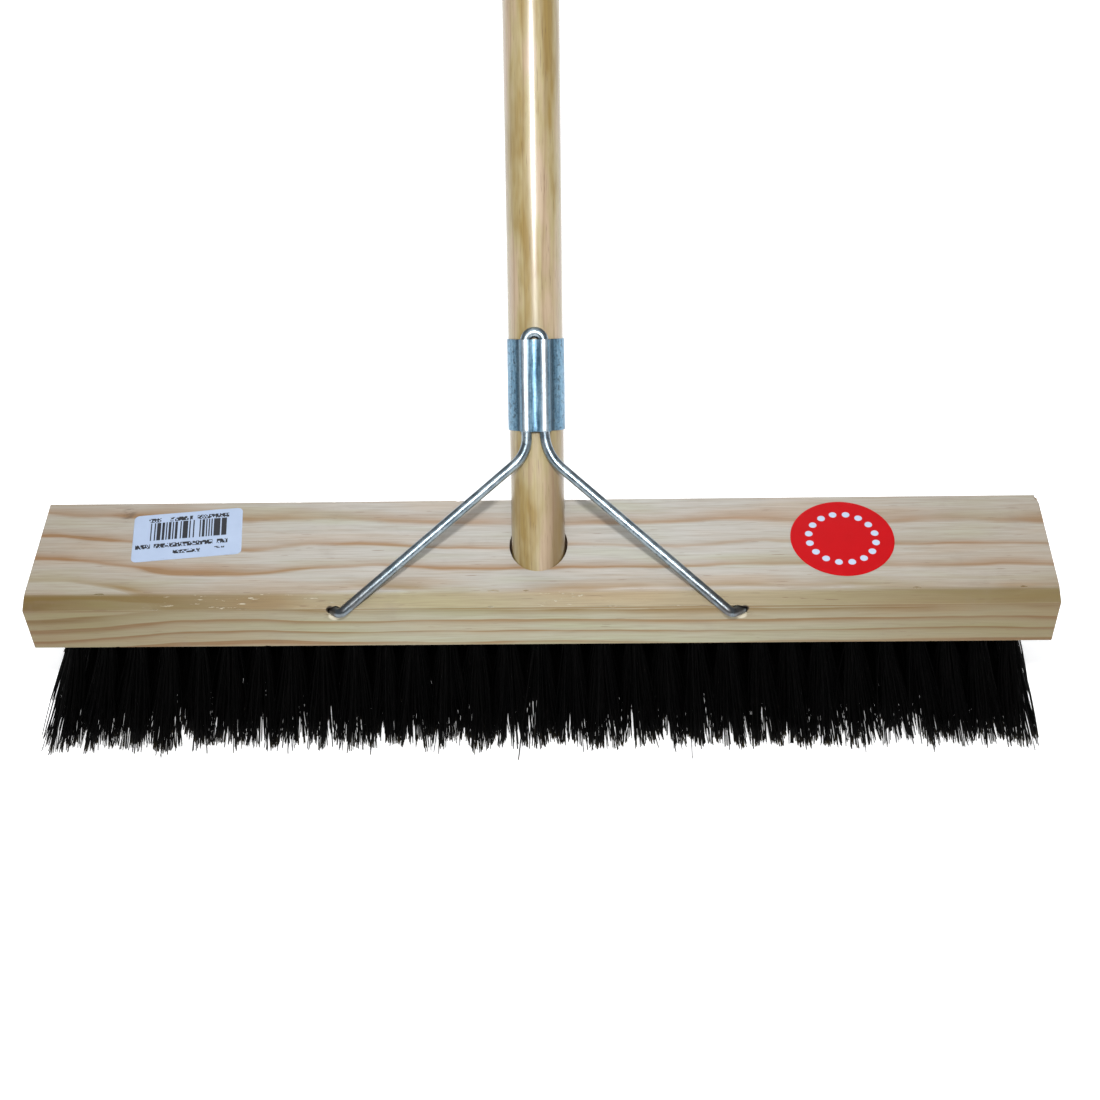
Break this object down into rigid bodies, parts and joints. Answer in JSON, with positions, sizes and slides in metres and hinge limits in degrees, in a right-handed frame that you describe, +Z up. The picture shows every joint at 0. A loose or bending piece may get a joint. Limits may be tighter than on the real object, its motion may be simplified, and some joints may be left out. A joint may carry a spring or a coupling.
{
  "type": "push broom",
  "caption": "Platform push broom: wooden block head set with stiff black fibre tufts, a leaning round wooden handle and a bent wire brace clipped to the handle.",
  "frame": {"origin": "centre of the trimmed fibre tips, on the floor that the broom stands on, under the middle of the stock", "axes": "+X along the stock, +Y towards the user, the way the handle leans, +Z up; the brace is on the -Y side"},
  "size_m": [0.4664, 0.7762, 1.0397],
  "materials": {
    "pine": "planed, unvarnished",
    "varnished_wood": "clear varnish, satin gloss",
    "nail_steel": "bright wire nail",
    "zinc_wire": "bright zinc plated, drawn",
    "galvanised_sheet": "hot-dip galvanised, fine spangle",
    "anchor_wire": "flat drawn wire",
    "black_fibre": "stiff black fibre, dull sheen",
    "label_paper": "coated white paper with printed bars",
    "sticker_vinyl": "red printed vinyl"
  },
  "bodies": {
    "root": {"stock": "pine", "handle": "varnished_wood", "handle_nail": "nail_steel", "brace_wire": "zinc_wire", "brace_clip": "galvanised_sheet", "clip_nails": "nail_steel", "barcode_label": "label_paper", "round_sticker": "sticker_vinyl", "tufts_row_1": "black_fibre", "tufts_row_2": "black_fibre", "tufts_row_3": "black_fibre", "tufts_row_4": "black_fibre", "tufts_row_5": "black_fibre", "tuft_anchors_row_1": "anchor_wire", "tuft_anchors_row_2": "anchor_wire", "tuft_anchors_row_3": "anchor_wire", "tuft_anchors_row_4": "anchor_wire", "tuft_anchors_row_5": "anchor_wire"}
  },
  "joints": []
}
